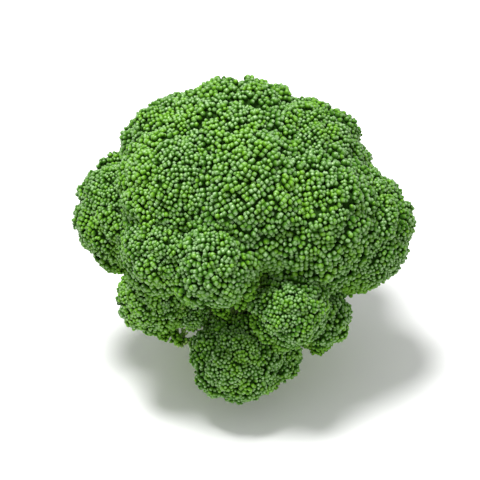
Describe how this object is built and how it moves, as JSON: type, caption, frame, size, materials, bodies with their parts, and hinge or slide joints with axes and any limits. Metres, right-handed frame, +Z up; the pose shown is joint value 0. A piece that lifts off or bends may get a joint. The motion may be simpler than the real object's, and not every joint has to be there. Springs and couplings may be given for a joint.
{
  "type": "broccoli head",
  "caption": "Whole broccoli head standing on its cut stalk, with branching stems that carry a tight domed crown of bud clusters and looser florets round its lower rim",
  "frame": {"origin": "middle of the stalk's cut face, on the surface that the head stands on", "axes": "+Z up along the stalk, -Y towards the side with the lowest floret, +X to the right seen from that side"},
  "size_m": [0.1594, 0.1438, 0.1427],
  "materials": {
    "buds": "matt waxy flower buds, dark green with brighter yellow-green rims",
    "branches": "smooth satin pale green stem skin",
    "stalk": "satin ribbed pale green skin with a moist cut face"
  },
  "bodies": {
    "root": {"crown_back_left_branch": "branches", "crown_back_left_buds": "buds", "crown_back_right_branch": "branches", "crown_back_right_buds": "buds", "crown_branch": "branches", "crown_buds": "buds", "crown_front_branch": "branches", "crown_front_buds": "buds", "crown_left_branch": "branches", "crown_left_buds": "buds", "crown_right_branch": "branches", "crown_right_buds": "buds", "foot_front_branch": "branches", "foot_front_buds": "buds", "foot_left_sprig_branch": "branches", "foot_left_sprig_buds": "buds", "foot_right_branch": "branches", "foot_right_buds": "buds", "shoulder_back_branch": "branches", "shoulder_back_buds": "buds", "shoulder_back_left_branch": "branches", "shoulder_back_left_buds": "buds", "shoulder_back_right_branch": "branches", "shoulder_back_right_buds": "buds", "shoulder_front_branch": "branches", "shoulder_front_buds": "buds", "shoulder_front_left_branch": "branches", "shoulder_front_left_buds": "buds", "shoulder_left_branch": "branches", "shoulder_left_buds": "buds", "shoulder_right_branch": "branches", "shoulder_right_buds": "buds", "skirt_back_branch": "branches", "skirt_back_buds": "buds", "skirt_back_left_branch": "branches", "skirt_back_left_buds": "buds", "skirt_back_right_branch": "branches", "skirt_back_right_buds": "buds", "skirt_front_left_branch": "branches", "skirt_front_left_buds": "buds", "skirt_front_right_branch": "branches", "skirt_front_right_buds": "buds", "skirt_left_branch": "branches", "skirt_left_buds": "buds", "skirt_right_branch": "branches", "skirt_right_buds": "buds", "stalk": "stalk"}
  },
  "joints": []
}
